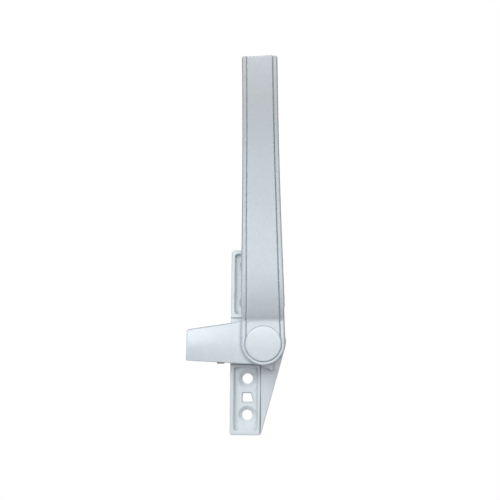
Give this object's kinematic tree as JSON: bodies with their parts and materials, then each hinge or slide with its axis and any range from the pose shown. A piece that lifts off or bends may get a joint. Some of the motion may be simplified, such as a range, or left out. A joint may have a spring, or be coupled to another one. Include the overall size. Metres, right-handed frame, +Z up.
{
  "type": "casement window handle",
  "caption": "Surface-mounted casement cam handle: an upright cranked lever turns a side tongue that pulls the sash shut against a screwed-on base plate.",
  "frame": {"origin": "middle of the four screw holes, on the base's back face", "axes": "+Y into the window sash (normal of the back face), +Z up along the base and the closed lever, +X from the frame side towards the glass"},
  "size_m": [0.0465, 0.0536, 0.174],
  "materials": {
    "white_powder_coat": "semi-gloss powder coat on zinc casting",
    "white_moulding": "satin moulded plastic",
    "natural_nylon": "matt nylon",
    "zinc_plated_steel": "bright zinc plate",
    "spring_steel": "oiled spring steel"
  },
  "bodies": {
    "base": {"base_body": "white_powder_coat", "pivot_bush": "natural_nylon", "thrust_washer": "natural_nylon", "back_washer": "zinc_plated_steel", "wave_washer": "spring_steel"},
    "handle": {"spindle": "zinc_plated_steel", "tongue": "white_powder_coat", "tongue_pad": "natural_nylon", "lever_body": "white_powder_coat", "grip_plate": "white_powder_coat", "clamp_washer": "zinc_plated_steel", "lock_washer": "spring_steel", "lever_screw": "zinc_plated_steel", "hub_cap": "white_moulding"}
  },
  "joints": [
    {"name": "handle_turn", "type": "hinge", "parent": "base", "child": "handle", "pos_m": [0.007, 0, 0], "axis": [0, 1, 0], "range_deg": [0, 90]}
  ]
}
